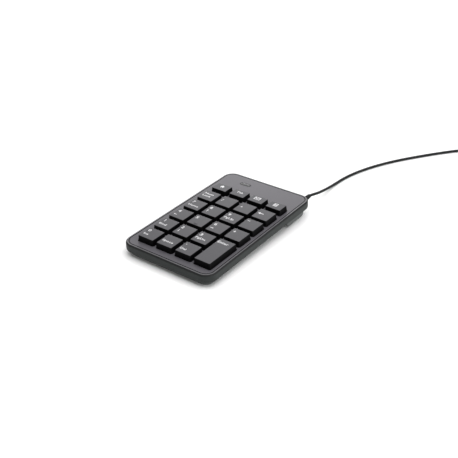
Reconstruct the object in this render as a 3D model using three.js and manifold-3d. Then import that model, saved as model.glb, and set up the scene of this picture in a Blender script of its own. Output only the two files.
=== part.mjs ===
// Wired numeric keypad: 23 keys on rubber domes over a membrane switch, in a two-part plastic case
// that is raised at the back by a riser, with a thin lead that ends in a USB plug.
// Millimetres. The keypad stands on z = 0, front edge towards -Y, back towards +Y.
//
// The case is drawn flat in its own frame, with z = 0 on the face of the key panel and the origin
// at the middle of its outline. One turned group then leans it back onto its feet.
import * as THREE from 'three';
import { mergeVertices } from 'three/addons/utils/BufferGeometryUtils.js';
import Module from 'manifold-3d';

const wasm = await Module();
wasm.setup();

// ---------- driving dimensions ----------
const CASE_WIDTH = 88;            // outer edge of the rim that frames the key panel
const CASE_LENGTH = 147.6;
const CASE_CORNER = 9.5;
const WALL_BULGE = 0.7;           // how far the side wall stands out past the rim
const WALL_LOW = -7.8;            // underside of the top cover
const WALL = 1.6;
const FLANGE_INSET = 2.7;         // the side wall's lower edge turns in to meet the base
const FLANGE_TOP = -6.2;
const PANEL = 1.8;                // thickness of the key panel
const TILT = THREE.MathUtils.degToRad(1.9);
const LIFT = 13.7;                // height of the key panel above the desk, at the case's middle
const SETBACK = -0.12;            // centres the leaning case over the origin

const PITCH = 19;
const KEYS_MIDDLE_X = 2.2;        // the key block sits a little right of the case's middle
const FIRST_ROW_Y = -57;
const TOP_ROW_Y = 37.5;
const KEY_TOP = { width: 15.2, depth: 15.1 };
const TOP_ROW_KEY = { width: 14.8, depth: 10.7 };
const KEY_HEIGHT = 5;             // key top above the key panel
const SKIRT_LOW = -1.2;           // lower edge of a key's skirt, at rest
const SKIRT_FLARE = 1.2;          // a key is this much wider at its lower edge
const WELL_MARGIN = 0.9;          // the well's edge stands this far outside the key's top
const STEM = 6;
const SHORT_STEM = 4;             // the top row's stems are shallower, to fit their shallow caps

const GUIDE_PLATE = [-6, -4.8];   // bottom and top of the key guide's plate
const DOME_SHEET = [-7.95, -7.55];
const MEMBRANE_TOP = [-8.2, -8.05];
const MEMBRANE_SPACER = [-8.45, -8.3];
const MEMBRANE_BOTTOM = [-8.7, -8.55];
const BACKING = [-9.4, -8.8];
const BASE_LOW = -11;             // underside of the base
const FLOOR_TOP = -9.6;
const BASE_INSET = 3;             // the base is this much smaller than the rim, all round
const BASE_WALL_TOP = -6.3;
const RISER_LOW = -15.1;
const RISER_Y = [38.5, 64.7];
const BOARD = [-10.4, -9.2];      // bottom and top of the controller board

const LEAD = 2.6;                 // diameter of the lead
const EXIT = { x: 37, z: -4, hole: 2.6 };
const GAP = 0.3;                  // clearance between pieces that touch

// ---------- solids ----------
function toSolid(geometry) {
  const plain = geometry.clone();
  plain.deleteAttribute('normal');
  plain.deleteAttribute('uv');
  const merged = mergeVertices(plain, 1e-4);
  const corners = Array.from(merged.index.array);
  const kept = [];
  for (let i = 0; i < corners.length; i += 3) {
    const [a, b, c] = corners.slice(i, i + 3);
    if (a !== b && b !== c && a !== c) kept.push(a, b, c);
  }
  return new wasm.Manifold(new wasm.Mesh({
    numProp: 3,
    vertProperties: new Float32Array(merged.attributes.position.array),
    triVerts: new Uint32Array(kept),
  }));
}

function toGeometry(solid) {
  const { vertProperties, triVerts } = solid.getMesh();
  const geometry = new THREE.BufferGeometry();
  geometry.setAttribute('position', new THREE.BufferAttribute(new Float32Array(vertProperties), 3));
  geometry.setIndex(Array.from(triVerts));
  geometry.computeVertexNormals();
  return geometry;
}

const addAll = (first, others) => others.reduce((sum, other) => sum.add(other), first);
const cutAll = (first, others) => others.reduce((rest, other) => rest.subtract(other), first);

function roundedRect(width, depth, radius, x = 0, y = 0) {
  const shape = new THREE.Shape();
  const [w, d, r] = [width / 2, depth / 2, radius];
  shape.absarc(x + w - r, y + d - r, r, 0, Math.PI / 2);
  shape.absarc(x - w + r, y + d - r, r, Math.PI / 2, Math.PI);
  shape.absarc(x - w + r, y - d + r, r, Math.PI, Math.PI * 1.5);
  shape.absarc(x + w - r, y - d + r, r, Math.PI * 1.5, Math.PI * 2);
  shape.closePath();
  return shape;
}

function slab(shape, low, high, curveSegments = 4) {
  return new THREE.ExtrudeGeometry(shape, { depth: high - low, bevelEnabled: false, curveSegments })
    .translate(0, 0, low);
}

// A slab whose lower and upper edges are rounded by the same amount.
function softSlab(shape, low, high, across, along, curveSegments = 4) {
  return new THREE.ExtrudeGeometry(shape, {
    depth: high - low - 2 * along, bevelThickness: along, bevelSize: across, bevelOffset: -across,
    bevelSegments: 2, curveSegments,
  }).translate(0, 0, low + along);
}

function box(width, depth, low, high, x = 0, y = 0) {
  return new THREE.BoxGeometry(width, depth, high - low).translate(x, y, (low + high) / 2);
}

function upright(radius, low, high, x = 0, y = 0, sides = 16) {
  return new THREE.CylinderGeometry(radius, radius, high - low, sides)
    .rotateX(Math.PI / 2).translate(x, y, (low + high) / 2);
}

// A turned piece about the Z axis, from a closed list of [radius, height] points.
function turned(points, sides, x = 0, y = 0) {
  const outline = points.map(([r, z]) => new THREE.Vector2(r, z));
  return new THREE.LatheGeometry(outline, sides).rotateX(Math.PI / 2).translate(x, y, 0);
}

function ring(sides, radius, turn = 0) {
  const shape = new THREE.Shape();
  for (let i = 0; i < sides; i += 1) {
    const angle = turn + (i / sides) * Math.PI * 2;
    shape[i === 0 ? 'moveTo' : 'lineTo'](radius * Math.cos(angle), radius * Math.sin(angle));
  }
  shape.closePath();
  return shape;
}

function tube(points, radius, sides, steps) {
  const path = new THREE.CatmullRomCurve3(points.map((p) => new THREE.Vector3(...p)));
  return new THREE.ExtrudeGeometry(ring(sides, radius), { extrudePath: path, steps });
}

// Widens a centred solid evenly towards its lower edge.
function flare(geometry, low, high, wide) {
  geometry.computeBoundingBox();
  const { max } = geometry.boundingBox;
  const position = geometry.attributes.position;
  for (let i = 0; i < position.count; i += 1) {
    const share = (high - position.getZ(i)) / (high - low);
    position.setX(i, position.getX(i) * (1 + (share * wide) / 2 / max.x));
    position.setY(i, position.getY(i) * (1 + (share * wide) / 2 / max.y));
  }
  return geometry;
}

// ---------- finishes ----------
const finish = (color, roughness, metalness = 0) => ({ color, roughness, metalness });
const FINISH = {
  panel: finish(0x6f6f72, 0.45),
  base: finish(0x656866, 0.55),
  key: finish(0x67676b, 0.4),
  guide: finish(0x1c1c1e, 0.6),
  silicone: finish(0xd9d9d4, 0.7),
  film: finish(0xcfd6c8, 0.3),
  steel: finish(0xb8babd, 0.35, 1),
  board: finish(0x1f5a35, 0.5),
  chip: finish(0x151517, 0.5),
  smoke: finish(0x101214, 0.1),
  led: finish(0x7fe07f, 0.3),
  rubber: finish(0x202122, 0.9),
  lead: finish(0x18191b, 0.55),
  plugSteel: finish(0xc8c9cc, 0.25, 1),
  plugTongue: finish(0xe8e8e6, 0.5),
};

// ---------- key layout ----------
const columnX = (column) => KEYS_MIDDLE_X + (column - 1.5) * PITCH;
const rowY = (row) => FIRST_ROW_Y + row * PITCH;
const ROW_NAMES = [
  ['key_0', 'key_space', 'key_decimal', null],
  ['key_1', 'key_2', 'key_3', null],
  ['key_4', 'key_5', 'key_6', 'key_plus'],
  ['key_7', 'key_8', 'key_9', 'key_minus'],
  ['key_num_lock', 'key_divide', 'key_multiply', 'key_backspace'],
];
const TOP_NAMES = ['key_home', 'key_tab', 'key_mail', 'key_calculator'];

const keys = [];
ROW_NAMES.forEach((names, row) => names.forEach((name, column) => {
  if (name) keys.push({ name, x: columnX(column), y: rowY(row), ...KEY_TOP, stemDepth: STEM });
}));
const enter = {
  name: 'key_enter', x: columnX(3), y: rowY(0.5), width: KEY_TOP.width, depth: KEY_TOP.depth + PITCH,
  stemDepth: STEM,
};
keys.push(enter);
TOP_NAMES.forEach((name, column) => {
  keys.push({ name, x: columnX(column), y: TOP_ROW_Y, ...TOP_ROW_KEY, stemDepth: SHORT_STEM });
});

// ---------- screws and feet ----------
const SCREW = { post: 1.6, pilot: 0.95, shank: 0.75, head: 1.7, headHeight: 1, hole: 1.1 };
const PAD = { radius: 2.4, top: -8.4 };  // the base is thicker where a case screw passes
const HEAD_SEAT = -9.4;           // ceiling of the pocket that a case screw's head sits in
const POST_LOW = PAD.top + GAP;
const CASE_SCREWS = [
  { name: 'case_screw_front_left', x: -36, y: -67.3 },
  { name: 'case_screw_front_right', x: 36, y: -67.3 },
  { name: 'case_screw_middle', x: KEYS_MIDDLE_X, y: 29.35 },
  { name: 'case_screw_back_left', x: -33, y: 47.6 },
  { name: 'case_screw_back_right', x: 33, y: 47.6 },
];
const BOARD_SCREWS = [
  { name: 'board_screw_left', x: -20.5, y: 50.5 },
  { name: 'board_screw_right', x: 22.5, y: 50.5 },
];

// The feet stand flat on the desk while the case leans, so they are drawn in the desk's frame.
const FOOT = { width: 9, depth: 6.4, height: 1.2, pocketTop: 1.5 };
const FEET = [
  { name: 'foot_front_left', x: -32, y: -62 },
  { name: 'foot_front_right', x: 32, y: -62 },
  { name: 'foot_back_left', x: -32, y: 54.6 },
  { name: 'foot_back_right', x: 32, y: 54.6 },
];

function footSolid({ x, y }, grow, low, high) {
  const depth = FOOT.depth + 2 * grow;
  return slab(roundedRect(FOOT.width + 2 * grow, depth, depth / 2 - 0.01, x, y), low, high, 4);
}

function makeScrew(length) {
  const { head, headHeight, shank } = SCREW;
  return turned([[0, 0], [head, 0], [head, headHeight], [shank, headHeight],
    [shank, length - 0.8], [0, length]], 12);
}

// ---------- top cover ----------
const WINDOW = { x: -17.5, y: 60.6, width: 10.4, depth: 3.6, ledge: 0.9 };
const RIB_ROWS = [-50, -12, 26];  // places of the ribs that hold the key guide down

function rimOutline(inset) {
  return roundedRect(CASE_WIDTH - 2 * inset, CASE_LENGTH - 2 * inset, CASE_CORNER - inset);
}

function windowOutline(grow) {
  const depth = WINDOW.depth + 2 * grow;
  return roundedRect(WINDOW.width + 2 * grow, depth, depth / 2 - 0.01, WINDOW.x, WINDOW.y);
}

function makeShell() {
  const middle = -3.4;            // the side wall is at its widest here
  const upper = toSolid(softSlab(rimOutline(-WALL_BULGE), WALL_LOW - 2, 0, WALL_BULGE, 1.1))
    .intersect(toSolid(box(200, 200, middle, 1)));
  const lower = toSolid(softSlab(rimOutline(-WALL_BULGE), WALL_LOW, 3, 1.5, 1.5))
    .intersect(toSolid(box(200, 200, WALL_LOW - 1, middle)));
  return upper.add(lower);
}

function makeTopCover() {
  const hollow = toSolid(slab(rimOutline(WALL - WALL_BULGE), FLANGE_TOP, -PANEL));
  const mouth = toSolid(slab(rimOutline(FLANGE_INSET), WALL_LOW - 1, FLANGE_TOP + 1));
  const groove = toSolid(slab(rimOutline(1.6), -0.7, 1))
    .subtract(toSolid(slab(rimOutline(2.1), -0.8, 2)));
  const wells = keys.map((key) => toSolid(slab(
    roundedRect(key.width + 2 * WELL_MARGIN, key.depth + 2 * WELL_MARGIN, 1.6, key.x, key.y),
    -PANEL - 1, 1, 2,
  )));
  const window = toSolid(slab(windowOutline(GAP), -PANEL - 1, 1, 4));
  const ledge = toSolid(slab(windowOutline(GAP + WINDOW.ledge), -PANEL - 1, -0.9, 4));
  const exit = toSolid(new THREE.CylinderGeometry(EXIT.hole, EXIT.hole, 8, 20)
    .translate(EXIT.x, RELIEF.shoulder + 3.6, EXIT.z));
  const posts = CASE_SCREWS.map(({ x, y }) => toSolid(upright(SCREW.post, POST_LOW, -1, x, y, 12))
    .subtract(toSolid(upright(SCREW.pilot, POST_LOW - 1, -3, x, y, 10))));
  const ribs = RIB_ROWS.flatMap((y) => [-1, 1].map((side) => toSolid(box(
    1.4, 8, GUIDE_PLATE[1] + GAP, -PANEL + 0.4, side * 40.2, y,
  ))));
  const shell = cutAll(makeShell(), [hollow, mouth, groove, window, ledge, exit, ...wells]);
  return toGeometry(addAll(shell, [...posts, ...ribs]));
}

function makeWindow() {
  const pane = toSolid(slab(windowOutline(0), -1.5, -0.15, 3));
  return toGeometry(pane.add(toSolid(slab(windowOutline(WINDOW.ledge), -1.9, -1.2, 4))));
}

// ---------- bottom cover ----------
const RISER_WIDTH = CASE_WIDTH - 2 * BASE_INSET + 1.6;
const RISER_CORNER = 2.5;

const baseOutline = (inset) => rimOutline(BASE_INSET + inset);

// The riser's outline seen from the side, drawn in Y and Z and made smaller by an inset.
function riserProfile(inset) {
  const [front, back] = [RISER_Y[0] + inset, RISER_Y[1] - inset];
  const [top, low] = [FLOOR_TOP - 0.4 + inset, RISER_LOW + inset];
  const shape = new THREE.Shape();
  shape.moveTo(front, top);
  shape.lineTo(front, BASE_LOW + inset);
  shape.quadraticCurveTo(front + 2.5, low, front + 10, low);
  shape.lineTo(back - 10, low);
  shape.quadraticCurveTo(back - 3, low, back, BASE_LOW - 1);
  shape.lineTo(back, top);
  shape.closePath();
  return shape;
}

// A bar along X with a side profile, and with its ends rounded at the bottom. The hollow bar inside
// it leaves the end walls half as thick again as the others.
function riserBar(inset) {
  const width = RISER_WIDTH - 3 * inset;
  const height = 14;
  const bar = new THREE.ExtrudeGeometry(riserProfile(inset), {
    depth: width, bevelEnabled: false, curveSegments: 8,
  }).rotateX(Math.PI / 2).rotateZ(Math.PI / 2).translate(-width / 2, 0, 0);
  const ends = slab(roundedRect(width, height, RISER_CORNER - inset), -80, -20)
    .rotateX(Math.PI / 2).translate(0, 0, RISER_LOW + inset + height / 2);
  return toSolid(bar).intersect(toSolid(ends));
}

function makeBottomCover() {
  const outside = toSolid(slab(baseOutline(0), BASE_LOW, BASE_WALL_TOP)).add(riserBar(0));
  const solidSpots = [
    ...CASE_SCREWS.slice(3).map(({ x, y }) => toSolid(box(7, 7, RISER_LOW, FLOOR_TOP, x, y))),
    ...FEET.slice(2).map(({ x, y }) => toSolid(box(13, 10, RISER_LOW, -12.4, x, y))),
  ];
  const inside = toSolid(slab(baseOutline(WALL), FLOOR_TOP, BASE_WALL_TOP + 1))
    .add(cutAll(riserBar(WALL), solidSpots));
  const pads = CASE_SCREWS.map(({ x, y }) => toSolid(upright(PAD.radius, BASE_LOW + 0.4, PAD.top, x, y)));
  const holes = CASE_SCREWS.flatMap(({ x, y }) => [
    toSolid(upright(SCREW.hole, BASE_LOW - 6, PAD.top + 1, x, y, 12)),
    toSolid(upright(SCREW.head + GAP, BASE_LOW - 6, HEAD_SEAT, x, y, 14)),
    toSolid(upright(SCREW.post + GAP, PAD.top, BASE_WALL_TOP + 1, x, y, 12)),
  ]);
  const toCase = new THREE.Matrix4().copy(caseGroup.matrix).invert();
  const pockets = FEET.map((foot) => toSolid(
    footSolid(foot, GAP, -3, FOOT.pocketTop).applyMatrix4(toCase),
  ));
  const posts = BOARD_SCREWS.map(({ x, y }) => toSolid(upright(2, -13.6, BOARD[0] - GAP, x, y, 12))
    .subtract(toSolid(upright(SCREW.pilot, -12.6, 0, x, y, 10))));
  const shell = addAll(outside.subtract(inside), pads);
  return toGeometry(addAll(cutAll(shell, [...holes, ...pockets]), posts));
}

// ---------- key guide ----------
const WIRE = { radius: 0.6, arm: 6, z: -3.9, halfSpan: 12, hookZ: -0.2 };
const BORE = STEM / 2 + 0.4;

function makeGuide() {
  const [low, high] = GUIDE_PLATE;
  const plate = toSolid(slab(roundedRect(81.4, 116, 5, 0, -12.5), low, high, 3));
  const sleeves = keys.map(({ x, y, stemDepth }) => toSolid(box(
    2 * BORE + 2.4, stemDepth + 3.2, high - 0.2, 0.3, x, y,
  )));
  const bores = keys.map(({ x, y, stemDepth }) => toSolid(box(
    2 * BORE, stemDepth + 0.8, low - 1, 2, x, y,
  )));
  const domeHoles = keys.map(({ x, y }) => toSolid(box(2 * BORE, 2 * BORE, low - 1, high + 0.5, x, y)));
  const passes = CASE_SCREWS.map(({ x, y }) => toSolid(upright(SCREW.post + 0.5, low - 1, 2, x, y, 10)));
  const clips = [-1, 1].map((side) => makeWireClip(side * 6.6));
  return toGeometry(cutAll(addAll(plate, sleeves), [...bores, ...domeHoles, ...passes])
    .add(clips[0]).add(clips[1]));
}

// A hooked clip on the guide that the tall key's levelling wire turns in.
function makeWireClip(offset) {
  const reach = WIRE.radius + GAP;
  const x = enter.x - WIRE.arm;
  const y = enter.y + offset;
  const wall = box(0.9, 2, GUIDE_PLATE[1] - 0.2, WIRE.z + reach + 0.7, x + reach + 0.45, y);
  const roof = box(2 * reach + 0.2, 2, WIRE.z + reach, WIRE.z + reach + 0.7, x + 0.4, y);
  return toSolid(wall).add(toSolid(roof));
}

// ---------- switch stack ----------
const SHEET = { width: 76, depth: 111, y: -11 };
const TAIL = { width: 26, depth: 9, y: 48 };

function makeSheet([low, high], holeRadius = 0, hasTail = false) {
  const sheet = toSolid(slab(roundedRect(SHEET.width, SHEET.depth, 2, 0, SHEET.y), low, high, 2));
  const tail = hasTail ? [toSolid(box(TAIL.width, TAIL.depth, low, high, 0, TAIL.y))] : [];
  const passes = CASE_SCREWS.slice(0, 3).map(({ x, y }) => toSolid(upright(
    PAD.radius + 0.4, low - 1, high + 1, x, y, 10,
  )));
  const contacts = holeRadius ? keys.map(({ x, y }) => toSolid(upright(
    holeRadius, low - 1, high + 1, x, y, 8,
  ))) : [];
  return cutAll(addAll(sheet, tail), [...passes, ...contacts]);
}

function makeDomeSheet() {
  const [low, high] = DOME_SHEET;
  const outside = [[0, high - 0.1], [4, high - 0.1], [3.1, -6], [2.3, -4.5], [0, -4.5]];
  const inside = [[0, low - 1], [3.4, low - 1], [3.3, low + 0.2], [1.7, -5.4], [0, -5.4]];
  const domes = keys.map(({ x, y }) => toSolid(turned(outside, 8, x, y)));
  const hollows = keys.map(({ x, y }) => toSolid(turned(inside, 6, x, y)));
  return toGeometry(cutAll(addAll(makeSheet(DOME_SHEET), domes), hollows));
}

// ---------- controller board ----------
const BOARD_PLAN = { width: 50, depth: 15.8, x: 1, y: 54.9 };
const ON_BOARD = BOARD[1] + GAP;
const SOCKET = { x: 16.8, y: 58.6, width: 7.6, depth: 4.6, height: 3.2 };

function makeBoard() {
  const { width, depth, x, y } = BOARD_PLAN;
  const plan = toSolid(slab(roundedRect(width, depth, 1, x, y), ...BOARD, 2));
  return toGeometry(cutAll(plan, BOARD_SCREWS.map((screw) => toSolid(upright(
    SCREW.hole, BOARD[0] - 1, BOARD[1] + 1, screw.x, screw.y, 12,
  )))));
}

// ---------- keys ----------
const ROOF = KEY_HEIGHT - 1.3;    // ceiling inside a key
const SKIRT = 1.1;                // thickness of a key's side

function makeKey(key) {
  const { width, depth, stemDepth } = key;
  const outside = flare(slab(roundedRect(width, depth, 0.8), SKIRT_LOW, KEY_HEIGHT, 1),
    SKIRT_LOW, KEY_HEIGHT, SKIRT_FLARE);
  const inside = flare(
    slab(roundedRect(width - 2 * SKIRT, depth - 2 * SKIRT, 0.5), SKIRT_LOW - 1, ROOF, 1),
    SKIRT_LOW - 1, ROOF, SKIRT_FLARE,
  );
  const stem = toSolid(box(STEM, stemDepth, -4.2, ROOF + 0.3))
    .subtract(toSolid(box(STEM - 2.4, stemDepth - 2, -5, -1.5)));
  const cap = toSolid(outside).subtract(toSolid(inside)).add(stem);
  return toGeometry(key === enter ? addAll(cap, wireHooks()) : cap);
}

// Two slotted lugs under the tall key hold the ends of its levelling wire.
function wireHooks() {
  const reach = WIRE.radius + 0.25;
  const middle = 0.5;             // the wire's ends swing outwards as the key goes down
  return [-1, 1].map((side) => {
    const y = side * (WIRE.halfSpan - 1.6);
    const lug = toSolid(box(5.6, 1.2, WIRE.hookZ - reach - 0.45, ROOF + 0.2, middle, y));
    const slot = box(3.4, 3, WIRE.hookZ - reach, WIRE.hookZ + reach, middle, y);
    return lug.subtract(toSolid(slot));
  });
}

// The wire lies along the tall key, and its two arms end in the key's lugs.
function makeWire() {
  const { radius, arm, z, halfSpan, hookZ } = WIRE;
  const low = new THREE.Vector3(-arm, 0, z);
  const high = new THREE.Vector3(0, 0, hookZ);
  const rod = (from, to) => {
    const along = to.clone().sub(from);
    const turn = new THREE.Quaternion()
      .setFromUnitVectors(new THREE.Vector3(0, 1, 0), along.clone().normalize());
    const middle = from.clone().add(to).multiplyScalar(0.5);
    return toSolid(new THREE.CylinderGeometry(radius, radius, along.length(), 8)
      .applyQuaternion(turn).translate(middle.x, middle.y, middle.z));
  };
  const bend = (at) => toSolid(new THREE.SphereGeometry(radius, 8, 6).translate(at.x, at.y, at.z));
  const pieces = [-1, 1].flatMap((side) => {
    const corner = low.clone().setY(side * halfSpan);
    const end = high.clone().setY(side * halfSpan);
    return [rod(corner, end), bend(corner), bend(end), rod(end, end.clone().setY(side * 9.2))];
  });
  return toGeometry(addAll(rod(low.clone().setY(-halfSpan), low.clone().setY(halfSpan)), pieces));
}

// ---------- strain relief and the lead inside the case ----------
const RELIEF = {
  inner: 67.8, shoulder: 71.4, collar: 74.6, end: 82.5, neck: 1.8, radius: 2.3, endRadius: 1.7,
};

function makeRelief() {
  const { inner, shoulder, collar, end, neck, radius, endRadius } = RELIEF;
  const sleeve = turned([[0, inner], [neck, inner], [neck, shoulder], [radius, shoulder],
    [radius, collar], [endRadius + 0.15, end - 0.4], [endRadius - 0.25, end], [0, end]], 16)
    .rotateX(-Math.PI / 2);
  const flange = box(6.8, 1.4, -2.1, 1.9, 0, inner + 0.7);
  return toGeometry(toSolid(sleeve).add(toSolid(flange)).translate([EXIT.x, 0, EXIT.z]));
}

const INNER_LEAD = [
  [EXIT.x, RELIEF.inner - GAP, EXIT.z], [36.6, 64, -4.1], [33.2, 60.2, -4.9], [28, 58.8, -6.2],
  [SOCKET.x + SOCKET.width / 2 + GAP, SOCKET.y, -7.2],
];

// ---------- free lead ----------
// It leaves the strain relief, sinks to the desk, and runs back and to the right to a small coil.
const LEAD_ROUTE = [
  [37, 82.9, 12.4], [37.6, 90, 11.1], [37.3, 98, 9], [35.9, 107.4, 6.5], [34.8, 117, 4.2],
  [34, 126, 2.6], [33.7, 134, 1.7], [33.9, 141, 1.4], [34.2, 147, 1.4], [35, 154, 1.4],
  [36.6, 163, 1.4], [39, 173, 1.4], [42.4, 184, 1.4], [46.8, 195.5, 1.4], [52.2, 207.5, 1.4],
  [58.4, 219.5, 1.4], [65.4, 231.5, 1.4], [73.2, 244, 1.4], [81.8, 257, 1.4], [91, 270, 1.4],
  [100.4, 281.4, 1.5], [110, 291, 1.7], [116.4, 296.4, 1.9],
];
const COIL = { x: 136, y: 284, inner: 8, outer: 21.3, low: 0.8, high: 11 };
const TIE = { angle: 2.2, width: 4, thick: 0.5, slack: 0.6 };
const LAST_ROUTE = [
  [158.3, 277, 9], [158.6, 270, 7.9], [159.2, 263, 6.2], [159.8, 256, 4.7], [160, 249.4, 4.1],
];

// A ring about the coil's middle, chamfered at its corners.
function makeCoil() {
  const { x, y, inner, outer, low, high } = COIL;
  const cut = 1.3;
  return turned([
    [inner + cut, low], [outer - cut, low], [outer, low + cut], [outer, high - cut],
    [outer - cut, high], [inner + cut, high], [inner, high - cut], [inner, low + cut], [inner + cut, low],
  ], 28, x, y);
}

// A strap round the coil's section, in the plane through the coil's axis.
function makeTie() {
  const { angle, width, thick, slack } = TIE;
  const middle = (COIL.inner + COIL.outer) / 2;
  const halfWidth = (COIL.outer - COIL.inner) / 2 + slack + thick;
  const height = COIL.high + GAP + thick;
  const frame = slab(roundedRect(2 * halfWidth, height, 1.6), -width / 2, width / 2, 3);
  const opening = slab(roundedRect(2 * (halfWidth - thick), height - 2 * thick, 1.1), -width, width, 3);
  return toGeometry(toSolid(frame).subtract(toSolid(opening)))
    .rotateX(Math.PI / 2).translate(middle, 0, height / 2).rotateZ(angle).translate(COIL.x, COIL.y, 0);
}

// ---------- USB plug, lying flat beside the coil and pointing to the front ----------
const PLUG = {
  x: 160, back: 249, relief: 8, front: 217, width: 15.6, height: 8.2,
  shell: { width: 12, height: 4.5, wall: 0.35, depth: 5, reach: 12 },
};

function makeOvermould() {
  const { x, back, relief, front, width, height, shell } = PLUG;
  const body = softSlab(roundedRect(width, back - relief - front, 1.6, x, (front + back - relief) / 2),
    0, height, 0.6, 0.6, 3);
  const boot = new THREE.CylinderGeometry(2, 2.7, relief + 1, 16)
    .translate(x, back - relief / 2 - 0.5, height / 2);
  const socket = new THREE.BoxGeometry(shell.width + 2 * GAP, 2 * shell.depth, shell.height + 2 * GAP)
    .translate(x, front, height / 2);
  return toGeometry(toSolid(body).add(toSolid(boot)).subtract(toSolid(socket)));
}

function makeShellTube() {
  const { x, front, height, shell } = PLUG;
  const [from, to] = [front - shell.reach, front + shell.depth - GAP];
  const tubeBox = (wall, grow) => toSolid(new THREE.BoxGeometry(
    shell.width - 2 * wall, to - from + 2 * grow, shell.height - 2 * wall,
  ).translate(x, (from + to) / 2, height / 2));
  return toGeometry(tubeBox(0, 0).subtract(tubeBox(shell.wall, 1)));
}

function makeTongue() {
  const { x, front, height, shell } = PLUG;
  const inside = shell.width / 2 - shell.wall - GAP;
  const top = height / 2 + shell.height / 2 - shell.wall - GAP;
  const [from, to] = [front - shell.reach + 0.6, front + shell.depth - GAP];
  return new THREE.BoxGeometry(2 * inside, to - from, 1.8).translate(x, (from + to) / 2, top - 0.9);
}

// ---------- assembly ----------
const root = new THREE.Group();
const caseGroup = new THREE.Group();
caseGroup.rotation.x = TILT;
caseGroup.position.set(0, SETBACK, LIFT);
caseGroup.updateMatrix();
root.add(caseGroup);

function place(group, name, geometry, look, x = 0, y = 0, z = 0) {
  const mesh = new THREE.Mesh(geometry, new THREE.MeshStandardMaterial(FINISH[look]));
  mesh.name = name;
  mesh.position.set(x, y, z);
  group.add(mesh);
  return mesh;
}

const onBoard = (width, depth, height, x, y) => box(width, depth, ON_BOARD, ON_BOARD + height, x, y);

place(caseGroup, 'top_cover', makeTopCover(), 'panel');
place(caseGroup, 'led_window', makeWindow(), 'smoke');
place(caseGroup, 'bottom_cover', makeBottomCover(), 'base');
place(caseGroup, 'key_guide', makeGuide(), 'guide');
place(caseGroup, 'dome_sheet', makeDomeSheet(), 'silicone');
place(caseGroup, 'membrane_top', toGeometry(makeSheet(MEMBRANE_TOP, 0, true)), 'film');
place(caseGroup, 'membrane_spacer', toGeometry(makeSheet(MEMBRANE_SPACER, 2)), 'film');
place(caseGroup, 'membrane_bottom', toGeometry(makeSheet(MEMBRANE_BOTTOM, 0, true)), 'film');
place(caseGroup, 'backing_plate', toGeometry(makeSheet(BACKING)), 'steel');
place(caseGroup, 'controller_board', makeBoard(), 'board');
place(caseGroup, 'controller_chip', onBoard(7, 7, 1.4, 6, 57.6), 'chip');
place(caseGroup, 'num_lock_led', upright(1.4, ON_BOARD, -4.6, WINDOW.x, WINDOW.y), 'led');
const socketBox = onBoard(SOCKET.width, SOCKET.depth, SOCKET.height, SOCKET.x, SOCKET.y);
place(caseGroup, 'lead_socket', socketBox, 'plugTongue');
place(caseGroup, 'inner_lead', tube(INNER_LEAD, LEAD / 2, 8, 10), 'lead');
place(caseGroup, 'strain_relief', makeRelief(), 'lead');
place(caseGroup, 'enter_levelling_wire', makeWire(), 'steel', enter.x, enter.y);
for (const key of keys) place(caseGroup, key.name, makeKey(key), 'key', key.x, key.y);
for (const { name, x, y } of CASE_SCREWS) {
  const seat = HEAD_SEAT - GAP - SCREW.headHeight;
  place(caseGroup, name, makeScrew(7), 'steel', x, y, seat);
}
for (const { name, x, y } of BOARD_SCREWS) {
  const top = ON_BOARD + SCREW.headHeight;
  place(caseGroup, name, makeScrew(4.4).rotateX(Math.PI), 'steel', x, y, top);
}
for (const foot of FEET) place(root, foot.name, footSolid(foot, 0, 0, FOOT.height), 'rubber');
place(root, 'cord_tube', tube(LEAD_ROUTE, LEAD / 2, 8, 42), 'lead');
place(root, 'cord_coil', makeCoil(), 'lead');
place(root, 'cord_tie', makeTie(), 'rubber');
place(root, 'cord_end_tube', tube(LAST_ROUTE, LEAD / 2, 8, 5), 'lead');
place(root, 'usb_overmould', makeOvermould(), 'lead');
place(root, 'usb_shell', makeShellTube(), 'plugSteel');
place(root, 'usb_tongue', makeTongue(), 'plugTongue');

export default root;
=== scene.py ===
# %% [markdown]
# # A wired numeric keypad
# The real object is a low plastic case with a panel of square wells. A key stands in each well,
# and a thin lead leaves the back edge. The measured frame comes from the imported part, so every
# piece made here is drawn in the same metres and in the same place.

import math

import bmesh
import bpy
from mathutils import Matrix, Vector


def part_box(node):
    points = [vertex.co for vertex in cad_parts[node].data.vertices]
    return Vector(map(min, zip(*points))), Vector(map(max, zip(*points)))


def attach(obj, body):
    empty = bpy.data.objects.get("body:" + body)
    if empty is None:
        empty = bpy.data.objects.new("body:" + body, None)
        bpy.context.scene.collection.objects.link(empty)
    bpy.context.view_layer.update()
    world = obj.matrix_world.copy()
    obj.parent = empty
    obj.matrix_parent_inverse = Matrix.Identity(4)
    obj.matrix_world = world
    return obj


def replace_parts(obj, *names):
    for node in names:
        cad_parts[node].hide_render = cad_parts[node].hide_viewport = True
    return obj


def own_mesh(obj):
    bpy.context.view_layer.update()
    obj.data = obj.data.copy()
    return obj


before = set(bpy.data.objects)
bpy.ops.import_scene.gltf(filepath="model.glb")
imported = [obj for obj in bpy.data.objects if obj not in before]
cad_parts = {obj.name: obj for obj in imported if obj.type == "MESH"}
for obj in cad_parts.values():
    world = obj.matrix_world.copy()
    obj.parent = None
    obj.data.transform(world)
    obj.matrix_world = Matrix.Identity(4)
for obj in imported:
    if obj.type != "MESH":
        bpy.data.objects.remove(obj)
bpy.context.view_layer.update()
MM = 0.001
print("frame nodes:", len(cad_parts))
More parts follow.
